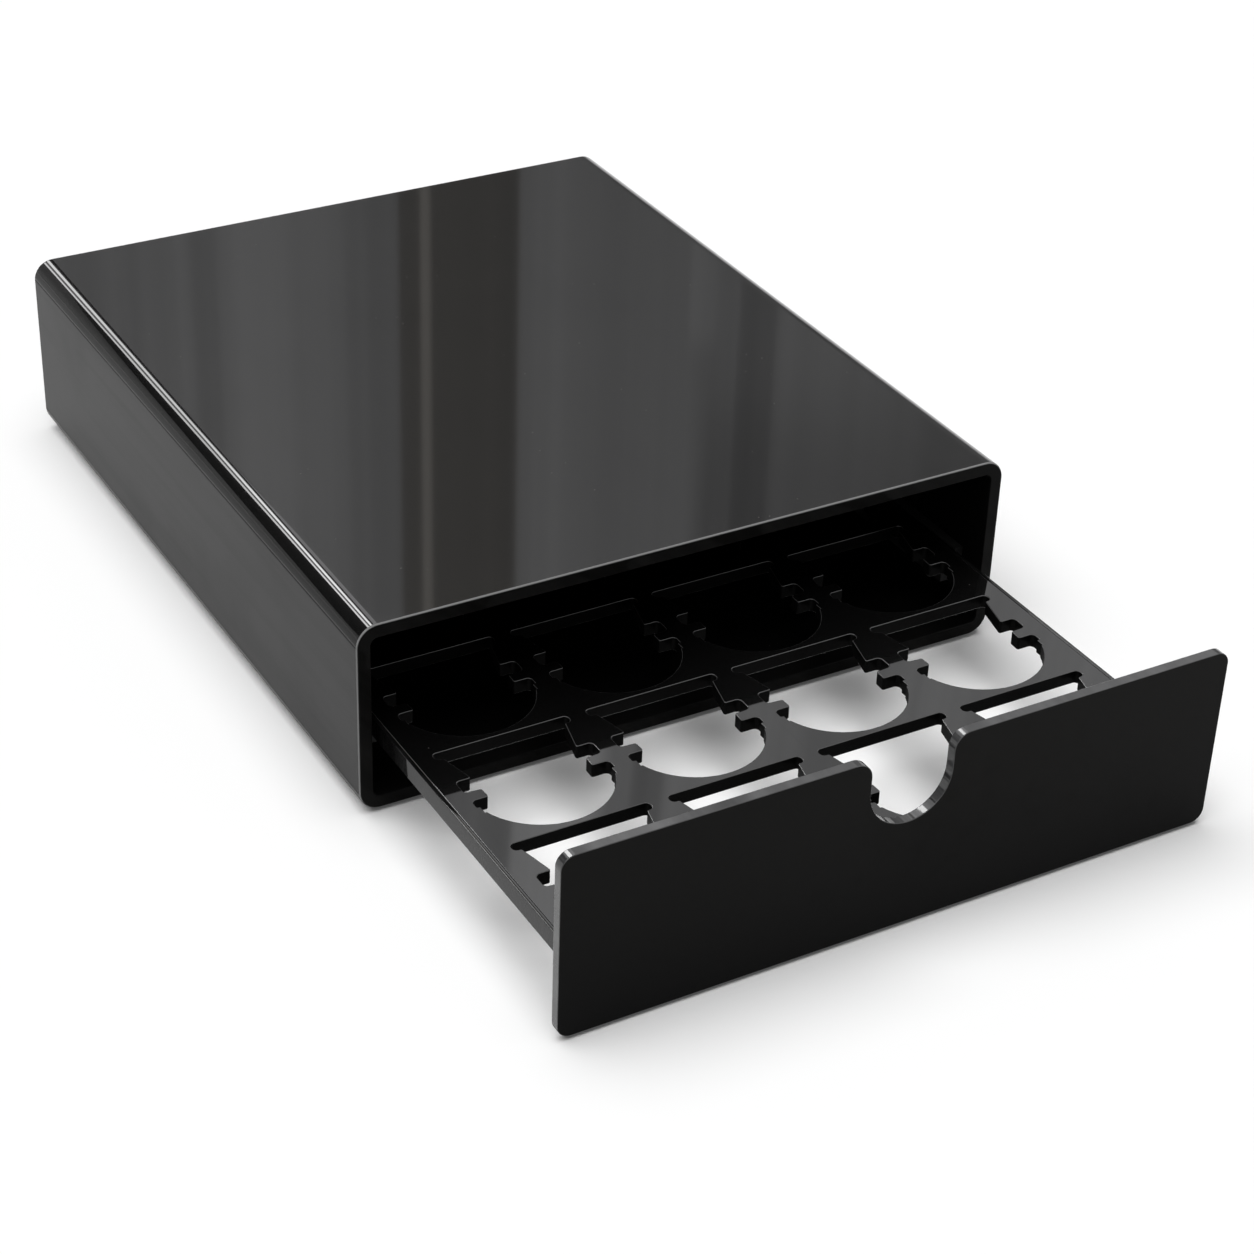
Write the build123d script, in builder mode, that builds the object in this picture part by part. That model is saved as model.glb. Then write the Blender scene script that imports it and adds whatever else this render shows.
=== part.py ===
from build123d import *
import os
from math import asin, degrees, floor, sqrt

# Coffee pod drawer: a gloss-black sheet-plastic case, open at the front, and a perforated tray that slides out
# of it on side runners. Millimetres, +Z up, +Y towards the rear, -Y towards the user. The origin is the middle
# of the footprint, on the surface that the object stands on, with the drawer drawn out by shown_opening.
# Bonded faces keep a film of cement between them, bond.

# ---- driving dimensions ------------------------------------------------------------------------------------

# case: one sheet bent round four corners and bonded into a tube, and a sheet let into its rear
case_width = 260.0
case_depth = 310.0
case_height = 74.0  # the sleeve alone, without the feet
wall = 5.2
corner_radius = 8.0  # outside of the bends
rim_round = 0.9  # outer edges of the sleeve's two ends
rim_ease = 0.4  # inner edges of the sleeve's two ends
back_thickness = 5.0
back_ease = 0.4

# feet, and soft buttons that the tray closes against
foot_height = 1.5
foot_radius = 6.0
foot_inset = 20.0
foot_round = 0.5
bumper_height = 4.3
bumper_radius = 4.0
bumper_round = 1.6
bumper_inset = 34.0  # in from the tray's side

# tray plate
tray_thickness = 5.2
tray_top_height = 31.2  # above the sleeve's underside
tray_rear_corner = 3.0
front_land = 1.0  # tray left between the front plate and the first row of holes
edge_land = 4.0  # least tray left beside the outer columns
rear_land = 10.5  # least tray left behind the last row, where the stop blocks stand

# glide strips on the tray's edges, and the spacers that guide them
glide_thickness = 1.4
glide_height = 7.4
glide_side_gap = 0.4
glide_foot_gap = 0.3
spacer_thickness = 3.4

# pod hole: a round mouth at the front; behind it, on each side, a front pocket, a tooth, a rear pocket and
# the side of a throat; and a straight slot across the back. The origin is the centre of the round mouth.
pod_radius = 25.2
pocket_extra = 0.3  # pockets and slot reach this much further out than the round mouth
slot_reach = 3.3  # the slot's back edge, behind the round mouth's circle
slot_depth = 3.8
throat_step = 2.6  # the throat's sides, in from the slot's ends
throat_narrowing = 3.3
rear_pocket_back = 10.7
rear_pocket_front = 4.1
tooth_length = 6.2
tooth_taper = 0.1
tooth_back = 3.7
tooth_front = -1.1
front_pocket_front = -5.1
lip_step = 1.2  # short straight lip between the front pocket and the round mouth
lip_front = -8.5
pocket_corner = 1.6
tooth_corner = 0.8
lip_corner = 0.5
column_web = 7.0  # tray left between two holes side by side
row_web = 2.3  # tray left between two holes one behind the other

# drawer front: flat plate with a U-shaped finger notch in its top edge
front_thickness = 4.0
front_corner = 5.0
side_lap = 1.2  # over the case's inner edge at both sides
top_lap = 0.6  # over the case's inner edge at the top
front_lift = 0.1  # the plate's lower edge above the sleeve's underside
front_ease = 0.4
notch_radius = 15.6
notch_depth = 28.2
notch_shoulder = 6.0

# runners on the case's inner sides
runner_width = 9.0
runner_thickness = 5.0
lower_setback = 12.0  # behind the case's front edge
upper_setback = 55.0
upper_gap = 0.5  # between the tray and the hold-down strips
lead_in = 1.5  # chamfer where the tray runs onto a strip

# travel
closed_gap = 0.3  # front plate to the case's front edge, closed
bumper_gap = 0.3  # tray to bumpers, closed
shown_opening = 130.0  # drawn out from the closed position, as modelled
full_travel = 177.0  # from closed to the stops
stop_gap = 0.3

# stop blocks on the tray's rear corners
stop_width = 6.0
stop_length = 9.0
stop_height = 4.5
stop_inset = 1.0  # in from the plate's side and rear edges
stop_ease = 0.5

# triangular glue blocks in the corner between the tray and the front plate
block_leg = 6.0
block_length = 16.0

bond = 0.1

# ---- worked out from them ----------------------------------------------------------------------------------

drawer_out = shown_opening + closed_gap + front_thickness
case_front = -(case_depth - drawer_out) / 2
case_back = case_front + case_depth
case_bottom = foot_height
case_top = case_bottom + case_height
inner_half = case_width / 2 - wall
inner_floor = case_bottom + wall
inner_ceiling = case_top - wall
inner_radius = max(corner_radius - wall, 2 * rim_ease)
back_inner = case_back - back_thickness

# tray, drawn out
front_back = case_front - closed_gap - shown_opening  # rear face of the front plate
tray_front = front_back + bond
tray_rear = back_inner - bumper_height - bumper_gap - shown_opening
tray_length = tray_rear - tray_front
tray_middle = (tray_front + tray_rear) / 2
tray_top = case_bottom + tray_top_height
tray_bottom = tray_top - tray_thickness

# running lane at each side, from the case's side inwards: spacer, gap, glide strip, plate
spacer_inner = inner_half - bond - spacer_thickness
glide_outer = spacer_inner - glide_side_gap
glide_inner = glide_outer - glide_thickness
plate_half = glide_inner - bond
glide_bottom = tray_top - glide_height
runner_outer = inner_half - bond
runner_inner = runner_outer - runner_width
lower_top = glide_bottom - glide_foot_gap
upper_bottom = tray_top + upper_gap
strip_rear = back_inner - bond
stop_front = tray_rear - stop_inset - stop_length
upper_front = case_front + upper_setback
upper_rear = stop_front + shown_opening - full_travel - stop_gap

# as many pod holes as the plate takes
pocket_half = pod_radius + pocket_extra
slot_back = pod_radius + slot_reach
column_pitch = 2 * pocket_half + column_web
row_pitch = slot_back + pod_radius + row_web
columns = floor((2 * (plate_half - edge_land) + column_web) / column_pitch)
rows = floor((tray_length - front_land - rear_land + row_web) / row_pitch)
first_row = tray_front + front_land + pod_radius
last_row = first_row + (rows - 1) * row_pitch

front_half = inner_half + side_lap
front_low = case_bottom + front_lift
front_high = inner_ceiling + top_lap
notch_centre = front_high - notch_depth + notch_radius

sides = {"left": -1, "right": 1}


def upright(y):
    """Vertical plane across the object at that y. A sketch on it is seen from the front."""
    return Plane.XZ.offset(-y)


def keep(piece, name):
    """Label a finished piece and write its file."""
    piece.part.label = name
    export_step(piece.part, f"parts/{name}.step")


def strip(x_inner, x_outer, y_front, y_rear, z_low, z_high):
    """Straight rectangular strip that runs from front to rear."""
    with BuildPart() as piece:
        with BuildSketch(Plane.XY.offset(z_low)):
            with Locations(((x_inner + x_outer) / 2, (y_front + y_rear) / 2)):
                Rectangle(abs(x_outer - x_inner), y_rear - y_front)
        extrude(amount=z_high - z_low)
    return piece


os.makedirs("parts", exist_ok=True)

# ---- case --------------------------------------------------------------------------------------------------

# sleeve: top, sides and bottom in one, open at both ends
with BuildPart() as case_sleeve:
    with BuildSketch(upright(case_back)):
        with Locations((0, case_bottom + case_height / 2)):
            RectangleRounded(case_width, case_height, corner_radius)
            RectangleRounded(
                2 * inner_half, inner_ceiling - inner_floor, inner_radius, mode=Mode.SUBTRACT
            )
    extrude(amount=case_depth)
    ends = case_sleeve.faces().filter_by(Axis.Y)
    fillet([edge for end in ends for edge in end.outer_wire().edges()], rim_round)
    ends = case_sleeve.faces().filter_by(Axis.Y)
    fillet([edge for end in ends for edge in end.inner_wires()[0].edges()], rim_ease)
keep(case_sleeve, "case_sleeve")

# back panel, let into the sleeve's rear and flush with it
with BuildPart() as back_panel:
    with BuildSketch(upright(case_back)):
        with Locations((0, case_bottom + case_height / 2)):
            RectangleRounded(
                2 * (inner_half - bond),
                inner_ceiling - inner_floor - 2 * bond,
                inner_radius - bond,
            )
    extrude(amount=back_thickness)
    chamfer(back_panel.faces().sort_by(Axis.Y)[-1].edges(), back_ease)
keep(back_panel, "back_panel")

for side, sign in sides.items():
    # lower runner, bonded to the case's side below the tray; its top edge is eased where the tray runs on
    lower_runner = strip(
        sign * runner_inner,
        sign * runner_outer,
        case_front + lower_setback,
        strip_rear,
        lower_top - runner_thickness,
        lower_top,
    )
    with lower_runner:
        top_edges = lower_runner.faces().sort_by(Axis.Z)[-1].edges()
        chamfer(top_edges.sort_by(Axis.Y)[0], lead_in)
    keep(lower_runner, f"{side}_lower_runner")

    # side spacer, between the lower runner and the hold-down strip
    side_spacer = strip(
        sign * spacer_inner,
        sign * runner_outer,
        case_front + lower_setback,
        strip_rear,
        lower_top + bond,
        upper_bottom - bond,
    )
    keep(side_spacer, f"{side}_side_spacer")

    # hold-down strip above the tray's edge; the stop block comes against its rear end
    upper_runner = strip(
        sign * runner_inner,
        sign * runner_outer,
        upper_front,
        upper_rear,
        upper_bottom,
        upper_bottom + runner_thickness,
    )
    with upper_runner:
        under_edges = upper_runner.faces().sort_by(Axis.Z)[0].edges()
        chamfer(under_edges.sort_by(Axis.Y)[0], lead_in)
    keep(upper_runner, f"{side}_upper_runner")

    # soft button on the back panel, at the height of the tray plate
    with BuildPart() as rear_bumper:
        with BuildSketch(upright(back_inner - bond)):
            with Locations((sign * (plate_half - bumper_inset), (tray_top + tray_bottom) / 2)):
                Circle(bumper_radius)
        extrude(amount=bumper_height - bond)
        fillet(rear_bumper.faces().sort_by(Axis.Y)[0].edges(), bumper_round)
    keep(rear_bumper, f"{side}_rear_bumper")

    # rubber feet under the case's corners
    for end, foot_y in (("front", case_front + foot_inset), ("rear", case_back - foot_inset)):
        with BuildPart() as foot:
            with BuildSketch(Plane.XY):
                with Locations((sign * (case_width / 2 - foot_inset), foot_y)):
                    Circle(foot_radius)
            extrude(amount=foot_height - bond)
            fillet(foot.faces().sort_by(Axis.Z)[0].edges(), foot_round)
        keep(foot, f"{end}_{side}_foot")

# ---- drawer ------------------------------------------------------------------------------------------------

# outline of one pod hole
slot_front = slot_back - slot_depth
throat_rear = pocket_half - throat_step
throat_front = throat_rear - throat_narrowing
tooth_rear_tip = pocket_half - tooth_length + tooth_taper
tooth_front_tip = pocket_half - tooth_length - tooth_taper
lip = pocket_half - lip_step

with BuildSketch() as pod_hole:
    with BuildLine():
        FilletPolyline(
            (0, slot_back),
            (pocket_half, slot_back),
            (pocket_half, slot_front),
            (throat_rear, slot_front),
            (throat_front, rear_pocket_back),
            (pocket_half, rear_pocket_back),
            (pocket_half, rear_pocket_front),
            (tooth_rear_tip, tooth_back),
            (tooth_front_tip, tooth_front),
            (pocket_half, tooth_front),
            (pocket_half, front_pocket_front),
            (lip, front_pocket_front),
            (lip, lip_front),
            (sqrt(pod_radius**2 - lip_front**2), lip_front),
            radius=[
                pocket_corner,
                pocket_corner,
                tooth_corner,
                tooth_corner,
                pocket_corner,
                pocket_corner,
                tooth_corner,
                tooth_corner,
                pocket_corner,
                lip_corner,
                lip_corner,
                0,
            ],
        )
        CenterArc((0, 0), pod_radius, -90, 90 - degrees(asin(-lip_front / pod_radius)))
        mirror(about=Plane.YZ)
    make_face()

# tray plate, with its holes cut right through
with BuildPart() as pod_tray:
    with BuildSketch(Plane.XY.offset(tray_bottom)) as plate:
        with Locations((0, tray_middle)):
            Rectangle(2 * plate_half, tray_length)
        fillet(plate.vertices().group_by(Axis.Y)[-1], tray_rear_corner)
        with Locations((0, (first_row + last_row) / 2)):
            with GridLocations(column_pitch, row_pitch, columns, rows):
                add(pod_hole.sketch, mode=Mode.SUBTRACT)
    extrude(amount=tray_thickness)
keep(pod_tray, "pod_tray")

# front plate, bonded to the tray's front edge
with BuildPart() as drawer_front:
    with BuildSketch(upright(front_back)) as front_outline:
        with Locations((0, (front_low + front_high) / 2)):
            RectangleRounded(2 * front_half, front_high - front_low, front_corner)
        with Locations((0, notch_centre)):
            Circle(notch_radius, mode=Mode.SUBTRACT)
        with Locations((0, (notch_centre + front_high) / 2)):
            Rectangle(2 * notch_radius, front_high - notch_centre, mode=Mode.SUBTRACT)
        along_top = front_outline.vertices().group_by(Axis.Y)[-1]
        fillet(along_top.sort_by(lambda corner: abs(corner.X))[:2], notch_shoulder)
    extrude(amount=front_thickness)
    fillet(drawer_front.faces().filter_by(Axis.Y).edges(), front_ease)
keep(drawer_front, "drawer_front")

# triangular glue blocks under the tray: one between each two columns, and one outside each outer column
between_columns = [(i - columns / 2) * column_pitch for i in range(1, columns)]
outermost = glide_inner - bond - block_length / 2
block_top = tray_bottom - bond
for number, block_x in enumerate([-outermost, *between_columns, outermost], start=1):
    with BuildPart() as glue_block:
        with BuildSketch(Plane.YZ.offset(block_x - block_length / 2)):
            with BuildLine():
                Polyline(
                    (tray_front, block_top),
                    (tray_front + block_leg, block_top),
                    (tray_front, block_top - block_leg),
                    close=True,
                )
            make_face()
        extrude(amount=block_length)
    keep(glue_block, f"front_glue_block_{number}")

for side, sign in sides.items():
    # glide strip, flush with the tray's top and deeper than the plate
    glide_strip = strip(
        sign * glide_inner,
        sign * glide_outer,
        tray_front,
        tray_rear,
        glide_bottom,
        tray_top,
    )
    keep(glide_strip, f"{side}_glide_strip")

    # stop block on the plate's rear corner
    stop_outer = plate_half - stop_inset
    stop_block = strip(
        sign * (stop_outer - stop_width),
        sign * stop_outer,
        stop_front,
        stop_front + stop_length,
        tray_top + bond,
        tray_top + bond + stop_height,
    )
    with stop_block:
        chamfer(stop_block.faces().sort_by(Axis.Z)[-1].edges(), stop_ease)
    keep(stop_block, f"{side}_stop_block")
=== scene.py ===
from math import cos, pi, radians, sin

import bpy
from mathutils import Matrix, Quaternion, Vector


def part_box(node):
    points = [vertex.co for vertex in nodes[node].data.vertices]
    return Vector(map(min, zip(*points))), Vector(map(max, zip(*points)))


# Coffee pod drawer in gloss-black sheet plastic, drawn out as in the photograph.
# Metres, +Z up, the user at -Y.
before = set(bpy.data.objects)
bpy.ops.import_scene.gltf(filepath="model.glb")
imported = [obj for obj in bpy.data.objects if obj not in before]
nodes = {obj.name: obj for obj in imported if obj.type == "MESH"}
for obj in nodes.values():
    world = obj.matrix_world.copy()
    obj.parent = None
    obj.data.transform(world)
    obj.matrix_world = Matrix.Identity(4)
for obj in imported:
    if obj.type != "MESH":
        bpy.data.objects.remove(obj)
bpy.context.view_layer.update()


# ---- case sleeve -------------------------------------------------------------------------------------------
# Top, sides and bottom of the case: one sheet of gloss-black acrylic, heated, bent round four corners and
# bonded into a tube. Its faces keep the polish of the sheet; its sawn ends are scraped to a dull black.


def shader_node(tree, kind, inputs=None, **settings):
    """Add a shader node, with its settings, and its inputs by name or number as a value or a link."""
    node = tree.nodes.new("ShaderNode" + kind)
    for name, value in settings.items():
        setattr(node, name, value)
    for name, value in (inputs or {}).items():
        if isinstance(value, bpy.types.NodeSocket):
            tree.links.new(value, node.inputs[name])
        else:
            node.inputs[name].default_value = value
    return node


def reckon(tree, operation, *values):
    """One step of arithmetic on values that change over a surface."""
    return shader_node(tree, "Math", dict(enumerate(values)), operation=operation).outputs[0]


def times(tree, *values):
    """Values that change over a surface, multiplied together."""
    product = values[0]
    for value in values[1:]:
        product = reckon(tree, "MULTIPLY", product, value)
    return product


def ease(tree, value, start, end, low=0.0, high=1.0):
    """Low up to start and high from end on, with a soft step between them."""
    limits = {"Value": value, "From Min": start, "From Max": end, "To Min": low, "To Max": high}
    return shader_node(tree, "MapRange", limits, interpolation_type="SMOOTHSTEP").outputs["Result"]


def between(tree, value, start, end, soft):
    """1 from start to end and 0 outside, soft at both ends."""
    begun = ease(tree, value, start - soft, start + soft)
    return times(tree, begun, ease(tree, value, end + soft, end - soft))


def scaled(tree, value, *shares):
    """A value brought to a share of itself wherever that share's mask is 1."""
    for mask, share in shares:
        value = times(tree, value, ease(tree, mask, 0.0, 1.0, 1.0, share))
    return value


def how_squarely(tree, facing_part):
    """How squarely a face looks along one axis, either way: 1 is straight along it."""
    return reckon(tree, "ABSOLUTE", facing_part)


def blend(tree, amount, under, over):
    """One colour laid over another by an amount that changes over a surface."""
    colours = {"Fac": amount, "Color1": under, "Color2": over}
    return shader_node(tree, "MixRGB", colours).outputs["Color"]


def split(tree, vector):
    """The X, Y and Z of a vector."""
    parts = shader_node(tree, "SeparateXYZ", {0: vector}).outputs
    return parts["X"], parts["Y"], parts["Z"]


def cloud(tree, place, size, stretch=(1, 1, 1), detail=3.0):
    """Noise from 0 to 1 in patches about size across, longer along an axis whose stretch is over 1."""
    squeeze = [1 / (size * along) for along in stretch]
    scaled_place = shader_node(tree, "VectorMath", {0: place, 1: squeeze}, operation="MULTIPLY").outputs[0]
    noise = {"Vector": scaled_place, "Scale": 1.0, "Detail": detail}
    return shader_node(tree, "TexNoise", noise).outputs["Fac"]


def effect(name, inputs, outputs):
    """Start a node group that several finishes share: its tree, what it is given and what it makes."""
    tree = bpy.data.node_groups.new(name, "ShaderNodeTree")
    for label, kind in inputs.items():
        tree.interface.new_socket(label, in_out="INPUT", socket_type="NodeSocket" + kind)
    for label in outputs:
        tree.interface.new_socket(label, in_out="OUTPUT", socket_type="NodeSocketFloat")
    return tree, tree.nodes.new("NodeGroupInput").outputs, tree.nodes.new("NodeGroupOutput").inputs


# cleaning and handling: soft smears, streaks wiped from front to rear, and hairline scratches
# each mark has its size, its stretch along the drawer, and the noise values between which it fades in
smear_size = 0.07
smear_cover = (0.45, 0.75)
smear_part = 0.6
streak_size = 0.006
streak_stretch = (1, 25, 1)
streak_cover = (0.45, 0.8)
streak_part = 0.4
hairline_size = 0.0009
hairline_stretch = (1, 70, 1)
hairline_cover = (0.72, 0.8)
handling, given, made = effect(
    "handling_marks", {"Place": "Vector", "Amount": "Float"}, ("Dulled", "Scratches")
)
smears = ease(handling, cloud(handling, given["Place"], smear_size), *smear_cover)
streaks = ease(handling, cloud(handling, given["Place"], streak_size, streak_stretch), *streak_cover)
wiped = reckon(handling, "MULTIPLY_ADD", smears, smear_part, times(handling, streaks, streak_part))
handling.links.new(times(handling, wiped, given["Amount"]), made["Dulled"])
fine_marks = cloud(handling, given["Place"], hairline_size, hairline_stretch, detail=1.0)
hairlines = ease(handling, fine_marks, *hairline_cover)
handling.links.new(times(handling, hairlines, given["Amount"]), made["Scratches"])

# dust: single specks with a thin film between them, only on faces that look up
cells_per_metre = 260.0
speck_edge = (0.09, 0.05)  # in widths of a cell, from the speck's faint rim to its full middle
cells_without_speck = 0.93
looking_up = (0.6, 0.95)
film_size = 0.03
film_cover = (0.4, 0.9)
dust, given, made = effect(
    "settled_dust", {"Place": "Vector", "Facing": "Vector", "Amount": "Float"}, ("Specks", "Film")
)
cells = shader_node(dust, "TexVoronoi", {"Vector": given["Place"], "Scale": cells_per_metre}).outputs
has_speck = reckon(dust, "GREATER_THAN", split(dust, cells["Color"])[0], cells_without_speck)
speck = times(dust, ease(dust, cells["Distance"], *speck_edge), has_speck)
settled = times(dust, ease(dust, split(dust, given["Facing"])[2], *looking_up), given["Amount"])
dust.links.new(times(dust, speck, settled), made["Specks"])
film = ease(dust, cloud(dust, given["Place"], film_size, detail=6.0), *film_cover)
dust.links.new(times(dust, film, settled), made["Film"])

# a sheet's sawn and scraped edge: fine lines across the sheet, among wider dull and bright stretches
saw_line_size = 0.0006
saw_stretch_size = 0.009
saw_stretch_cover = (0.35, 0.7)
sawn, given, made = effect("sawn_edge", {"Along": "Float"}, ("Lines", "Stretches"))
run = shader_node(sawn, "CombineXYZ", {"X": given["Along"]}).outputs[0]
sawn.links.new(cloud(sawn, run, saw_line_size, detail=2.0), made["Lines"])
wide_marks = cloud(sawn, run, saw_stretch_size, detail=4.0)
sawn.links.new(ease(sawn, wide_marks, *saw_stretch_cover), made["Stretches"])

polish_roughness = 0.035


def plastic(name, roughness, sheen_level):
    """Start a plastic's finish: the material, its tree and shader, and the place and facing on the piece."""
    finish = bpy.data.materials.new(name)
    finish.use_nodes = True
    surface = finish.node_tree.nodes["Principled BSDF"]
    surface.inputs["Roughness"].default_value = roughness
    surface.inputs["Specular IOR Level"].default_value = sheen_level
    surface.inputs["Coat Roughness"].default_value = polish_roughness
    coords = shader_node(finish.node_tree, "TexCoord").outputs
    return finish, finish.node_tree, surface, coords["Object"], coords["Normal"]


dust_grey = (0.42, 0.4, 0.37, 1)
film_tint = 0.004
speck_tint = 0.25
smear_roughness = 0.25
smear_loss = -0.05  # of the polish, as are the next two
scratch_loss = -0.12
speck_loss = -0.5
scratch_depth = -0.5  # of the relief


def weather(tree, surface, place, facing, colour, polish, relief, wear, dusty, depth):
    """Lay handling marks and dust over a plastic's colour, polish and relief, and link them up."""
    marks = shader_node(tree, "Group", node_tree=handling)
    tree.links.new(place, marks.inputs["Place"])
    marks.inputs["Amount"].default_value = wear
    settled = shader_node(tree, "Group", node_tree=dust)
    tree.links.new(place, settled.inputs["Place"])
    tree.links.new(facing, settled.inputs["Facing"])
    settled.inputs["Amount"].default_value = dusty

    veiled = blend(tree, times(tree, settled.outputs["Film"], film_tint), colour, dust_grey)
    speckled = blend(tree, times(tree, settled.outputs["Specks"], speck_tint), veiled, dust_grey)
    tree.links.new(speckled, surface.inputs["Base Color"])

    base_roughness = surface.inputs["Roughness"].default_value
    dulled = reckon(tree, "MULTIPLY_ADD", marks.outputs["Dulled"], smear_roughness, base_roughness)
    tree.links.new(dulled, surface.inputs["Roughness"])

    clean = reckon(tree, "MULTIPLY_ADD", marks.outputs["Dulled"], smear_loss, 1.0)
    clean = reckon(tree, "MULTIPLY_ADD", marks.outputs["Scratches"], scratch_loss, clean)
    clean = reckon(tree, "MULTIPLY_ADD", settled.outputs["Specks"], speck_loss, clean)
    tree.links.new(times(tree, polish, clean), surface.inputs["Coat Weight"])

    scratched = reckon(tree, "MULTIPLY_ADD", marks.outputs["Scratches"], scratch_depth, relief)
    bump = shader_node(tree, "Bump", {"Height": scratched, "Distance": depth})
    tree.links.new(bump.outputs["Normal"], surface.inputs["Normal"])


def cut_lines(tree, along):
    """The lines and the dull and bright stretches of a sawn edge, along the way it runs."""
    lines = shader_node(tree, "Group", node_tree=sawn)
    tree.links.new(along, lines.inputs["Along"])
    return lines.outputs["Lines"], lines.outputs["Stretches"]


def dress(finish, slot, *names):
    """Give CAD pieces this finish."""
    for name in names:
        piece = nodes[name]
        piece.data.materials.clear()
        piece.data.materials.append(finish)


sheet_sheen = 0.02  # of the sheet under its polish
sheet_black = (0.004, 0.0039, 0.0038, 1)
sheet_black_deep = (0.003, 0.003, 0.003, 1)
mottling_size = 0.05
end_dull = (0.0035, 0.0035, 0.0033, 1)
end_bright = (0.007, 0.0068, 0.0065, 1)
# painted highlight as well as scraping: the pale colour of the front end's upper and side rounds
round_scrape_and_painted_highlight = (0.17, 0.17, 0.17, 1)
sleeve_low, sleeve_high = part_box("case_sleeve")
sleeve_half_width = (sleeve_high.x - sleeve_low.x) / 2
sleeve_half_height = (sleeve_high.z - sleeve_low.z) / 2
sleeve_mid_height = (sleeve_low.z + sleeve_high.z) / 2
outer_skin = 0.0025  # how far in from the outside the polish of the outer faces reaches
bend_radius = 0.008
scraped_end = 0.0008  # how far in from the sleeve's rear end the scraper has dulled it
# the polish of each part, as a share of the top's
inner_polish = 0.04
side_polish = 0.35
beneath_polish = 0.2
dull_line_polish = 0.25
bright_line_polish = 1.6
rear_line_polish = 0.2
rim_sheen = 0.05

case_finish, tree, surface, place, facing = plastic("gloss_black_case_sheet", 0.42, sheet_sheen)
across, deep, height = split(tree, place)
from_middle = reckon(tree, "ABSOLUTE", across)
from_mid_height = reckon(tree, "ABSOLUTE", reckon(tree, "SUBTRACT", height, sleeve_mid_height))
on_side = ease(tree, from_middle, sleeve_half_width - 2 * outer_skin, sleeve_half_width - outer_skin)
on_top = ease(tree, from_mid_height, sleeve_half_height - 2 * outer_skin, sleeve_half_height - outer_skin)
outside = reckon(tree, "MAXIMUM", on_side, on_top)
facing_across, facing_deep, facing_up = split(tree, facing)
rim = ease(tree, how_squarely(tree, facing_deep), 0.6, 0.93)
side_face = ease(tree, how_squarely(tree, facing_across), 0.75, 0.97)
beneath = ease(tree, facing_up, -0.1, -0.6)

# the front end's rounded edge, scraped paler than the rest and painted paler still as a highlight on its
# upper and side rounds, but not beneath
turned_forward = ease(tree, facing_deep, -0.1, -0.3)
short_of_rim = ease(tree, facing_deep, -0.92, -0.72)
front_round_scrape_and_highlight = times(tree, turned_forward, short_of_rim, outside, ease(tree, beneath, 1.0, 0.0))
lines, stretches = cut_lines(tree, reckon(tree, "ADD", across, height))
mottled = blend(tree, cloud(tree, place, mottling_size), sheet_black_deep, sheet_black)
colour = blend(tree, rim, mottled, blend(tree, stretches, end_dull, end_bright))
colour = blend(tree, front_round_scrape_and_highlight, colour, round_scrape_and_painted_highlight)

# the heater's faint line along the start of each bend: a dull line with a bright one beside it
dull_line_reach = (0.0001, 0.0007)  # past the start of the bend
bright_line_reach = (0.0008, 0.0013)
line_softness = 0.0001
past_bend_start = reckon(tree, "SUBTRACT", from_mid_height, sleeve_half_height - bend_radius)
dull_line = times(tree, between(tree, past_bend_start, *dull_line_reach, line_softness), side_face)
bright_line = times(tree, between(tree, past_bend_start, *bright_line_reach, line_softness), side_face)
rear_line = ease(tree, deep, sleeve_high.y - scraped_end, sleeve_high.y - scraped_end / 2)
skin = scaled(
    tree,
    ease(tree, outside, 0.0, 1.0, inner_polish, 1.0),
    (side_face, side_polish),
    (beneath, beneath_polish),
    (dull_line, dull_line_polish),
    (bright_line, bright_line_polish),
    (rear_line, rear_line_polish),
    (rim, 0.0),
)
polish = reckon(tree, "MULTIPLY_ADD", rim, rim_sheen, skin)
relief = times(tree, lines, rim)
weather(tree, surface, place, facing, colour, polish, relief, wear=0.6, dusty=0.8, depth=0.00003)
dress(case_finish, "case_plastic", "case_sleeve")

# ---- back panel --------------------------------------------------------------------------------------------
# Sheet of the same acrylic, sawn to size, let into the sleeve's rear and bonded round its edge. The cement
# leaves a faint hazy band along the joint.

cement_grey = (0.05, 0.05, 0.05, 1)
cement_tint = 0.25
haze_edge = (0.0015, -0.001)  # from the joint, where the haze begins and where it is full
haze_wander = -0.006
wander_size = 0.012
panel_inner_polish = 0.1
panel_polish = 0.95
haze_polish = 0.55
panel_low, panel_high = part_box("back_panel")
panel_finish, tree, surface, place, facing = plastic("gloss_black_back_sheet", 0.4, sheet_sheen)
across, _, height = split(tree, place)
to_side = reckon(tree, "SUBTRACT", panel_high.x, reckon(tree, "ABSOLUTE", across))
to_top = reckon(tree, "SUBTRACT", panel_high.z, height)
to_bottom = reckon(tree, "SUBTRACT", height, panel_low.z)
to_joint = reckon(tree, "MINIMUM", to_side, reckon(tree, "MINIMUM", to_top, to_bottom))
wandering = reckon(tree, "MULTIPLY_ADD", cloud(tree, place, wander_size), haze_wander, to_joint)
haze = ease(tree, wandering, *haze_edge)
outside = ease(tree, split(tree, facing)[1], 0.6, 0.95)
colour = blend(tree, cloud(tree, place, mottling_size), sheet_black_deep, sheet_black)
colour = blend(tree, times(tree, haze, cement_tint), colour, cement_grey)
polish = ease(tree, outside, 0.0, 1.0, panel_inner_polish, panel_polish)
polish = scaled(tree, polish, (haze, haze_polish))
weather(tree, surface, place, facing, colour, polish, haze, wear=1.0, dusty=0.4, depth=0.00003)
dress(panel_finish, "case_plastic", "back_panel")


# ---- runner strips and spacers -----------------------------------------------------------------------------
# Straight strips of black acrylic, sawn to width and bonded in a stack on the case's inner sides. The tray's
# glides have rubbed the running faces bright, along the way they slide.


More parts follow.
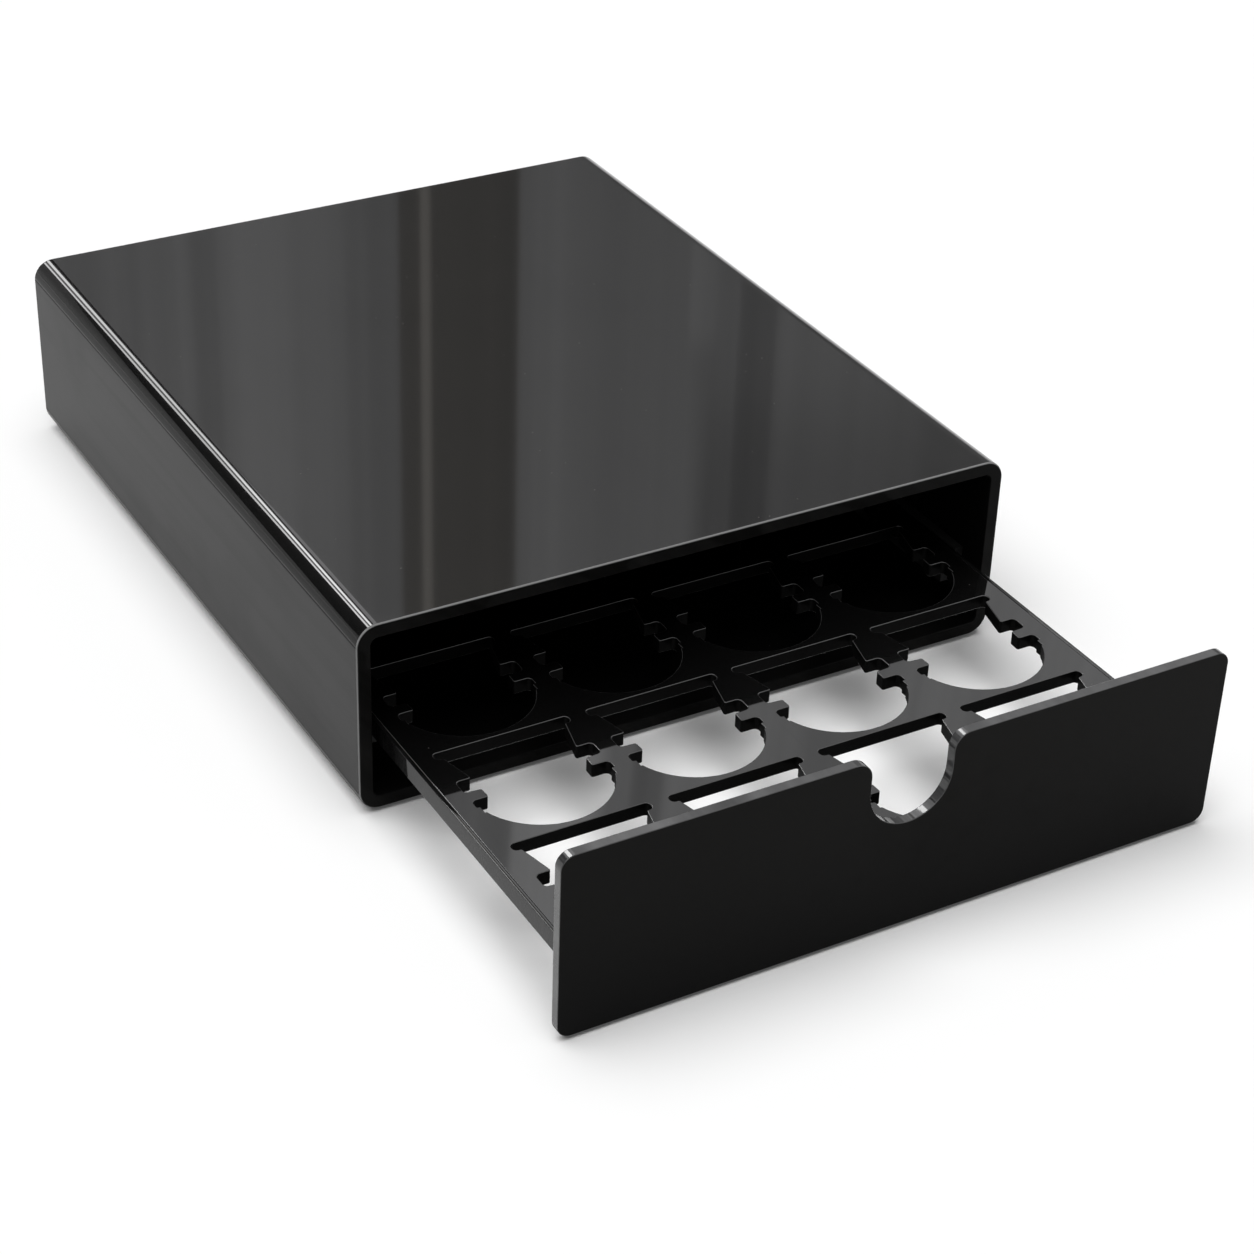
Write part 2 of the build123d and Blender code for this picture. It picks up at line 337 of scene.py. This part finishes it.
def sharp_edges_eased(piece, width):
    """Round a CAD piece's sharp edges a little, as scraping leaves them."""
    joined = piece.modifiers.new("joined faces", "WELD")
    joined.merge_threshold = 0.00001
    flat = piece.modifiers.new("whole flat faces", "DECIMATE")
    flat.decimate_type = "DISSOLVE"
    flat.angle_limit = radians(0.5)
    eased = piece.modifiers.new("eased edges", "BEVEL")
    eased.width = width
    eased.segments = 2
    eased.use_clamp_overlap = False
    eased.limit_method = "ANGLE"
    eased.angle_limit = radians(40)
    even = piece.modifiers.new("even shading", "WEIGHTED_NORMAL")
    even.keep_sharp = False
    even.weight = 100


strip_names = [
    f"{side}_{strip}"
    for side in ("left", "right")
    for strip in ("lower_runner", "side_spacer", "upper_runner")
]
strip_edge = 0.0002
strip_dull = (0.006, 0.006, 0.006, 1)
strip_bright = (0.012, 0.012, 0.0115, 1)
rubbed_black = (0.02, 0.02, 0.019, 1)
rubbed_polish = 0.4
rub_size = 0.0012
rub_stretch = (1, 60, 1)
rub_cover = (0.35, 0.75)
strip_finish, tree, surface, place, facing = plastic("matt_black_strip", 0.45, 0.25)
deep = split(tree, place)[1]
running_face = ease(tree, how_squarely(tree, split(tree, facing)[2]), 0.8, 0.98)
rubbed = times(tree, ease(tree, cloud(tree, place, rub_size, rub_stretch), *rub_cover), running_face)
lines, stretches = cut_lines(tree, deep)
colour = blend(tree, rubbed, blend(tree, stretches, strip_dull, strip_bright), rubbed_black)
polish = times(tree, rubbed, rubbed_polish)
weather(tree, surface, place, facing, colour, polish, lines, wear=1.0, dusty=0.6, depth=0.00004)
dress(strip_finish, "strip_plastic", *strip_names)
for name in strip_names:
    sharp_edges_eased(nodes[name], strip_edge)

# ---- pod tray ----------------------------------------------------------------------------------------------
# Flat plate of gloss-black acrylic with twenty pod holes cut right through. The cutter leaves fine upright
# lines on the walls of the holes, and their top edges are scraped to a narrow paler line, painted paler
# still as a highlight.

hole_edge = 0.0003
tray_black = (0.0024, 0.0024, 0.0024, 1)
tray_black_deep = (0.0018, 0.0018, 0.0018, 1)
scraped_and_highlight_grey = (0.055, 0.055, 0.055, 1)
hole_wall_black = (0.002, 0.002, 0.0019, 1)
hole_wall_polish = 0.03
tray_finish, tree, surface, place, facing = plastic("gloss_black_tray_sheet", 0.4, sheet_sheen)
across, deep, _ = split(tree, place)
facing_up = split(tree, facing)[2]
level = ease(tree, how_squarely(tree, facing_up), 0.9, 0.985)
wall_face = ease(tree, how_squarely(tree, facing_up), 0.35, 0.15)
# the eased top edges of the holes: scraped paler, and painted paler still as the highlight they catch
scraped_and_highlight_line = times(tree, ease(tree, level, 1.0, 0.2), ease(tree, wall_face, 1.0, 0.2))
lines, _ = cut_lines(tree, reckon(tree, "ADD", across, deep))
colour = blend(tree, cloud(tree, place, mottling_size), tray_black_deep, tray_black)
colour = blend(tree, scraped_and_highlight_line, colour, scraped_and_highlight_grey)
colour = blend(tree, wall_face, colour, hole_wall_black)
polish = ease(tree, wall_face, 0.0, 1.0, 1.0, hole_wall_polish)
relief = times(tree, lines, wall_face)
weather(tree, surface, place, facing, colour, polish, relief, wear=0.9, dusty=0.5, depth=0.00003)
dress(tray_finish, "drawer_plastic", "pod_tray")
sharp_edges_eased(nodes["pod_tray"], hole_edge)

# in the photograph the plate mirrors the case as if it faced the user a little, so its shading leans that
# way, while the mesh itself stays flat
far_to_the_rear = 100000  # metres, so far that every normal leans the same way
lean = nodes["pod_tray"].modifiers.new("shading leans to the user", "NORMAL_EDIT")
lean.mode = "RADIAL"
lean.offset = (0, far_to_the_rear, 0)
lean.mix_limit = radians(3)

# ---- glide strips ------------------------------------------------------------------------------------------
# Thin strips of the tray's acrylic bonded on its long edges, flush with its top and deeper than the plate.
# Their under edges run on the lower runners.

glide_dull = (0.0025, 0.0025, 0.0025, 1)
glide_bright = (0.006, 0.006, 0.006, 1)
glide_side_polish = 0.5
glide_finish, tree, surface, place, facing = plastic("gloss_black_glide_sheet", 0.4, sheet_sheen)
deep = split(tree, place)[1]
lines, stretches = cut_lines(tree, deep)
top_edge = ease(tree, split(tree, facing)[2], 0.6, 0.9)
colour = blend(tree, stretches, glide_dull, glide_bright)
polish = ease(tree, top_edge, 0.0, 1.0, glide_side_polish, 1.0)
weather(tree, surface, place, facing, colour, polish, lines, wear=1.0, dusty=0.3, depth=0.00002)
dress(glide_finish, "strip_plastic", "left_glide_strip", "right_glide_strip")
for side in ("left", "right"):
    sharp_edges_eased(nodes[f"{side}_glide_strip"], strip_edge)

# ---- drawer front ------------------------------------------------------------------------------------------
# Flat plate of black acrylic with rounded corners and a U-shaped finger notch, bonded to the tray's front
# edge. Its face is a soft satin, painted darker towards its bottom as shade; its edges are scraped and
# flame-polished, so they look paler and streaked, except those facing down, which are painted darker as
# shade.

satin_black = (0.0046, 0.0044, 0.004, 1)
satin_black_deep = (0.0036, 0.0035, 0.0032, 1)
satin_painted_shade_low = (0.001, 0.001, 0.001, 1)  # painted shade: the satin's colour at the bottom edge, darker as if the shadowed floor showed in it
satin_patch_size = 0.06
edge_dull = (0.016, 0.016, 0.0165, 1)
edge_bright = (0.045, 0.045, 0.046, 1)
under_edge_painted_shade = (0.008, 0.008, 0.008, 1)
face_polish = 0.04
under_edge_polish = 0.02
front_low, front_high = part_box("drawer_front")
front_finish, tree, surface, place, facing = plastic("satin_black_front_sheet", 0.34, 0.04)
across, _, height = split(tree, place)
_, facing_deep, facing_up = split(tree, facing)
face = ease(tree, how_squarely(tree, facing_deep), 0.55, 0.97)
underneath = ease(tree, facing_up, -0.05, -0.35)
lines, stretches = cut_lines(tree, reckon(tree, "ADD", across, height))
satin = blend(tree, cloud(tree, place, satin_patch_size), satin_black_deep, satin_black)
# painted shade: the satin grows darker towards the plate's bottom edge
satin = blend(tree, ease(tree, height, front_low.z, front_high.z), satin_painted_shade_low, satin)
pale_edge = blend(tree, stretches, edge_dull, edge_bright)
colour = blend(tree, reckon(tree, "MAXIMUM", face, underneath), pale_edge, satin)
# painted shade: the edges that face down are coloured darker than the paler top and side edges
colour = blend(tree, underneath, colour, under_edge_painted_shade)
polish = ease(tree, face, 0.0, 1.0, 1.0, face_polish)
polish = scaled(tree, polish, (underneath, under_edge_polish))
relief = times(tree, lines, ease(tree, face, 1.0, 0.0))
weather(tree, surface, place, facing, colour, polish, relief, wear=1.0, dusty=0.4, depth=0.00003)
dress(front_finish, "drawer_plastic", "drawer_front")

# ---- glue blocks and stop blocks ---------------------------------------------------------------------------
# Small offcuts of the same acrylic: triangular blocks that hold the tray square to the front plate, and
# blocks on the tray's rear corners that come against the hold-down strips.

block_names = [name for name in nodes if "block" in name]
block_edge = 0.00025
block_dull = (0.008, 0.008, 0.008, 1)
block_bright = (0.02, 0.02, 0.02, 1)
block_polish = (0.2, 0.5)  # in the dull and in the bright stretches
block_finish, tree, surface, place, facing = plastic("sawn_black_block", 0.4, 0.25)
across, _, height = split(tree, place)
lines, stretches = cut_lines(tree, reckon(tree, "ADD", across, height))
colour = blend(tree, stretches, block_dull, block_bright)
polish = ease(tree, stretches, 0.0, 1.0, *block_polish)
weather(tree, surface, place, facing, colour, polish, lines, wear=1.0, dusty=0.6, depth=0.00005)
dress(block_finish, "strip_plastic", *block_names)
for name in block_names:
    sharp_edges_eased(nodes[name], block_edge)

# ---- feet --------------------------------------------------------------------------------------------------
# Thin self-adhesive discs, die-cut from black rubber and stuck under the case's corners. The rubber has a
# fine grain and no polish.

no_polish = 0.0
rubber_black = (0.018, 0.018, 0.018, 1)
rubber_greyed = (0.035, 0.034, 0.033, 1)
rubber_patch_size = 0.004
rubber_grain_size = 0.0004
foot_names = [name for name in nodes if name.endswith("_foot")]
foot_finish, tree, surface, place, facing = plastic("black_foot_rubber", 0.75, 0.4)
grain = cloud(tree, place, rubber_grain_size, detail=5.0)
colour = blend(tree, cloud(tree, place, rubber_patch_size), rubber_black, rubber_greyed)
weather(tree, surface, place, facing, colour, no_polish, grain, wear=0.5, dusty=1.0, depth=0.00008)
dress(foot_finish, "foot_rubber", *foot_names)

# ---- rear bumpers ------------------------------------------------------------------------------------------
# Soft domed buttons, moulded from smoky silicone and stuck on the back panel. The tray closes against them,
# so they stop it without a knock.

silicone_smoky = (0.16, 0.16, 0.15, 1)
silicone_clearer = (0.24, 0.24, 0.22, 1)
silicone_patch_size = 0.003
silicone_grain_size = 0.0008
bumper_names = [name for name in nodes if name.endswith("_bumper")]
bumper_finish, tree, surface, place, facing = plastic("smoky_bumper_silicone", 0.35, 0.5)
grain = cloud(tree, place, silicone_grain_size, detail=4.0)
colour = blend(tree, cloud(tree, place, silicone_patch_size), silicone_smoky, silicone_clearer)
weather(tree, surface, place, facing, colour, no_polish, grain, wear=0.6, dusty=0.5, depth=0.00004)
dress(bumper_finish, "bumper_silicone", *bumper_names)

# ---- floor -------------------------------------------------------------------------------------------------
# Pale matt studio floor, wide enough to fill every view. It shows white where no shadow falls, to the camera
# and in the gloss of the plastic.


def stage_mesh(name, points, faces, finish):
    """Add a piece of the studio, which isn't part of the object."""
    mesh = bpy.data.meshes.new(name)
    mesh.from_pydata(points, [], faces)
    mesh.materials.append(finish)
    piece = bpy.data.objects.new(name, mesh)
    bpy.context.scene.collection.objects.link(piece)
    return piece


def seen_or_mirrored(tree):
    """1 for what the camera sees straight, in a mirror face or through a clear one, else 0."""
    rays = shader_node(tree, "LightPath").outputs
    mirrored = reckon(tree, "MAXIMUM", rays["Is Glossy Ray"], rays["Is Transmission Ray"])
    return reckon(tree, "MAXIMUM", rays["Is Camera Ray"], mirrored)


floor_reach = 12.0
floor_lift = 0.05  # share of white that the floor shows even in full shadow
floor_finish = bpy.data.materials.new("pale_studio_floor")
floor_finish.use_nodes = True
tree = floor_finish.node_tree
surface = tree.nodes["Principled BSDF"]
surface.inputs["Base Color"].default_value = (0.9, 0.9, 0.9, 1)
surface.inputs["Roughness"].default_value = 0.9
surface.inputs["Specular IOR Level"].default_value = 0.0
surface.inputs["Emission Color"].default_value = (1, 1, 1, 1)
tree.links.new(times(tree, seen_or_mirrored(tree), floor_lift), surface.inputs["Emission Strength"])
stage_mesh(
    "studio_floor",
    [(x * floor_reach, y * floor_reach, 0) for x, y in ((-1, -1), (1, -1), (1, 1), (-1, 1))],
    [(0, 1, 2, 3)],
    floor_finish,
)

# ---- studio curtain ----------------------------------------------------------------------------------------
# Pale curtain hung all round the table, well outside the view. It lights nothing: it is only there for the
# gloss to mirror, brighter towards its top, with soft folds and one wide dark gap.


def glowing(name):
    """Start a finish that only shines: its material and tree, and the place, bearing and height on it."""
    finish = bpy.data.materials.new(name)
    finish.use_nodes = True
    tree = finish.node_tree
    tree.nodes.remove(tree.nodes["Principled BSDF"])
    place = shader_node(tree, "TexCoord").outputs["Object"]
    east, north, height = split(tree, place)
    bearing = times(tree, reckon(tree, "ARCTAN2", north, east), 180 / pi)  # degrees, from +X towards +Y
    return finish, tree, place, bearing, height


def shine(tree, strength, colour=(1, 1, 1, 1)):
    """Make a finish shine at a strength, and in a colour, that may change over it."""
    emission = shader_node(tree, "Emission", {"Color": colour, "Strength": strength})
    tree.links.new(emission.outputs[0], tree.nodes["Material Output"].inputs["Surface"])


def only_mirrored(piece):
    """Seen in glossy faces alone: not by the camera, in the lighting or in the shadows."""
    piece.visible_camera = False
    piece.visible_diffuse = False
    piece.visible_shadow = False
    piece.visible_transmission = False
    piece.visible_volume_scatter = False


curtain_radius = 3.0
curtain_bottom = 0.62
curtain_top = 4.5
curtain_facets = 96
glow_per_metre = 0.39
glow_at_floor = -0.155
band_glow = 0.95  # added above the band's lower edge, which sinks to the right of one bearing
band_edge = (2.04, 2.14)
band_sinks_from = 54.0
band_sinks_per_degree = 0.027
curtain_finish, tree, place, bearing, height = glowing("studio_curtain")
glow = reckon(tree, "MULTIPLY_ADD", height, glow_per_metre, glow_at_floor)
to_the_right = reckon(tree, "MAXIMUM", reckon(tree, "SUBTRACT", band_sinks_from, bearing), 0.0)
band_height = reckon(tree, "MULTIPLY_ADD", to_the_right, band_sinks_per_degree, height)
glow = reckon(tree, "MULTIPLY_ADD", ease(tree, band_height, *band_edge), band_glow, glow)

# folds, fine folds and the weave: how wide, how detailed, and their darkest and brightest shares
fold_cover = (0.3, 0.7)
round_curtain = shader_node(tree, "VectorMath", {0: place, 1: (1, 1, 0)}, operation="MULTIPLY").outputs[0]
for size, detail, darkest, brightest in (
    (0.45, 1.5, 0.9, 1.12),
    (0.05, 2.5, 0.94, 1.06),
    (0.012, 2.0, 0.94, 1.06),
):
    fold = cloud(tree, round_curtain, size, detail=detail)
    glow = times(tree, glow, ease(tree, fold, *fold_cover, darkest, brightest))

# where a length of cloth begins and ends, in degrees of bearing, and how softly; its share of the curtain's
# brightness; and, if it isn't the whole height, the heights between which it fades in
wide_gap_reach = (62.6, 66.0, 0.12)
wide_gap_share = 0.42
hangings = (
    (71.9, 73.4, 0.2, 1.25, None),
    (73.6, 85.0, 0.2, 1.1, None),
    (67.7, 71.2, 0.5, 1.12, None),
    (69.0, 71.1, 0.5, 1.14, None),
    (66.0, 67.6, 0.25, 0.83, None),
    (65.1, 65.4, 0.1, 2.7, None),
    (60.1, 66.0, 0.15, 0.5, (2.4, 2.6)),
    (60.8, 62.4, 0.3, 1.1, None),
    (56.8, 57.6, 0.2, 1.25, (1.6, 1.5)),
    (56.3, 57.5, 0.3, 0.85, None),
    (55.1, 56.2, 0.15, 0.62, None),
    (48.6, 50.8, 0.4, 0.86, None),
    (-200.0, 57.1, 0.5, 0.68, (1.45, 1.85)),
    (36.0, 48.2, 1.2, 1.2, None),
)
for start, end, soft, share, fades_in in hangings:
    cloth = between(tree, bearing, start, end, soft)
    if fades_in:
        cloth = times(tree, cloth, ease(tree, height, *fades_in))
    glow = scaled(tree, glow, (cloth, share))
wide_gap = between(tree, bearing, *wide_gap_reach)
glow = scaled(tree, glow, (wide_gap, wide_gap_share))
white_cloth = (1, 1, 1.01, 1)
warm_gap = (1, 0.95, 0.88, 1)
shine(tree, glow, blend(tree, wide_gap, white_cloth, warm_gap))

ring = [2 * pi * i / curtain_facets for i in range(curtain_facets)]
rims = [
    (curtain_radius * cos(turn), curtain_radius * sin(turn), rim_height)
    for rim_height in (curtain_bottom, curtain_top)
    for turn in ring
]
panels = [
    (i, (i + 1) % curtain_facets, curtain_facets + (i + 1) % curtain_facets, curtain_facets + i)
    for i in range(curtain_facets)
]
only_mirrored(stage_mesh("studio_curtain", rims, panels, curtain_finish))


# ---- flags, tall lamp and soft box -------------------------------------------------------------------------
# Upright panels on stands in front of the curtain, each facing the table. The black and grey flags darken
# what the gloss mirrors, and the lamp and the soft box give the bends and corners their bright lines.


def upright_panel(name, finish, bearing, width, distance, bottoms, top):
    """A flat upright panel round the table, facing it. Its bottom may slant between its two ends."""
    out = Vector((cos(radians(bearing)), sin(radians(bearing)), 0))
    along = Vector((-out.y, out.x, 0))
    near_end = out * distance - along * width / 2
    far_end = out * distance + along * width / 2
    corners = [
        near_end + Vector((0, 0, bottoms[0])),
        far_end + Vector((0, 0, bottoms[1])),
        far_end + Vector((0, 0, top)),
        near_end + Vector((0, 0, top)),
    ]
    only_mirrored(stage_mesh(name, corners, [(0, 1, 2, 3)], finish))


black_cloth = bpy.data.materials.new("black_flag_cloth")
black_cloth.use_nodes = True
surface = black_cloth.node_tree.nodes["Principled BSDF"]
surface.inputs["Base Color"].default_value = (0.002, 0.002, 0.002, 1)
surface.inputs["Specular IOR Level"].default_value = 0.0
upright_panel("black_flag", black_cloth, bearing=119.0, width=1.3, distance=2.8, bottoms=(1.5, 0.4), top=2.3)
upright_panel(
    "slim_black_flag", black_cloth, bearing=82.0, width=0.2, distance=2.8, bottoms=(1.2, 1.2), top=2.9
)

# the grey flag, lighter at its bottom than from a metre up
grey_heights = (0.1, 1.0)
grey_glow = (0.5, 0.27)
grey_cloth, tree, _, _, height = glowing("grey_flag_cloth")
shine(tree, ease(tree, height, *grey_heights, *grey_glow))
upright_panel("grey_flag", grey_cloth, bearing=119.0, width=1.5, distance=2.86, bottoms=(0.1, 0.1), top=1.7)

# the lamp's two bright tubes and the dim strip between them: from one bearing to the other, how softly, how
# bright, and the shares of that below and above the heights where it changes
tube_heights = (1.95, 2.45)
lamp_face, tree, _, bearing, height = glowing("tall_lamp_face")
glare = 0.0
for start, end, soft, bright, low_share, high_share in (
    (86.5, 94.0, 0.8, 6.5, 1.0, 1.85),
    (100.0, 106.5, 1.0, 6.0, 1.05, 1.7),
    (94.0, 100.0, 0.8, 0.8, 1.0, 1.0),
):
    tube = times(tree, between(tree, bearing, start, end, soft), bright)
    tube = times(tree, tube, ease(tree, height, *tube_heights, low_share, high_share))
    glare = reckon(tree, "ADD", glare, tube)
shine(tree, glare)
upright_panel("tall_lamp", lamp_face, bearing=97.0, width=1.15, distance=2.93, bottoms=(1.4, 1.4), top=2.9)

# a bright soft box above the lamp, which the rounded corners of the drawer front catch as small spots
box_lower_edge = (2.65, 2.8)
box_glow = 14.0
box_face, tree, _, _, height = glowing("soft_box_face")
shine(tree, ease(tree, height, *box_lower_edge, 0.0, box_glow))
upright_panel("soft_box", box_face, bearing=96.0, width=1.4, distance=2.85, bottoms=(2.65, 2.65), top=3.7)

# ---- lamp and surroundings ---------------------------------------------------------------------------------
# One broad soft lamp high to the left of the object, and a little even light from all round. The lamp itself
# isn't mirrored: the gloss mirrors the panels above instead.

lamp = bpy.data.lights.new("broad_soft_lamp", "SUN")
lamp.energy = 3.07
lamp.angle = radians(64)
broad_lamp = bpy.data.objects.new("broad_soft_lamp", lamp)
broad_lamp.rotation_mode = "QUATERNION"
lamp_from = Vector((-0.22, 0.02, 1.0))
broad_lamp.rotation_quaternion = lamp_from.to_track_quat("Z", "Y")
broad_lamp.visible_glossy = False
bpy.context.scene.collection.objects.link(broad_lamp)

even_light = 0.12
world = bpy.data.worlds.new("white_surroundings")
bpy.context.scene.world = world
world.use_nodes = True
tree = world.node_tree
backdrop = tree.nodes["Background"]
backdrop.inputs["Color"].default_value = (1, 1, 1, 1)
white_when_seen = reckon(tree, "MULTIPLY_ADD", seen_or_mirrored(tree), 1 - even_light, even_light)
tree.links.new(white_when_seen, backdrop.inputs["Strength"])

# ---- camera ------------------------------------------------------------------------------------------------
# The photograph's view: from the front left, looking down at about 32 degrees, and turned about 2 degrees
# round its own axis.

camera = bpy.data.cameras.new("photograph_view")
camera.lens = 82.64
camera.sensor_width = 36
camera.shift_x = -0.0048
camera.shift_y = 0.0002
camera.clip_start = 0.01
turned_left = radians(30.627)
looks_down = radians(32.412)
tilted = radians(2.152)
back = Vector((-sin(turned_left) * cos(looks_down), -cos(turned_left) * cos(looks_down), sin(looks_down)))
eye = bpy.data.objects.new("photograph_view", camera)
eye.location = (-0.4552, -0.81455, 0.5829)
eye.rotation_mode = "QUATERNION"
eye.rotation_quaternion = (-back).to_track_quat("-Z", "Y") @ Quaternion((0, 0, 1), tilted)
bpy.context.scene.collection.objects.link(eye)
bpy.context.scene.camera = eye
bpy.context.scene.view_settings.view_transform = "Standard"
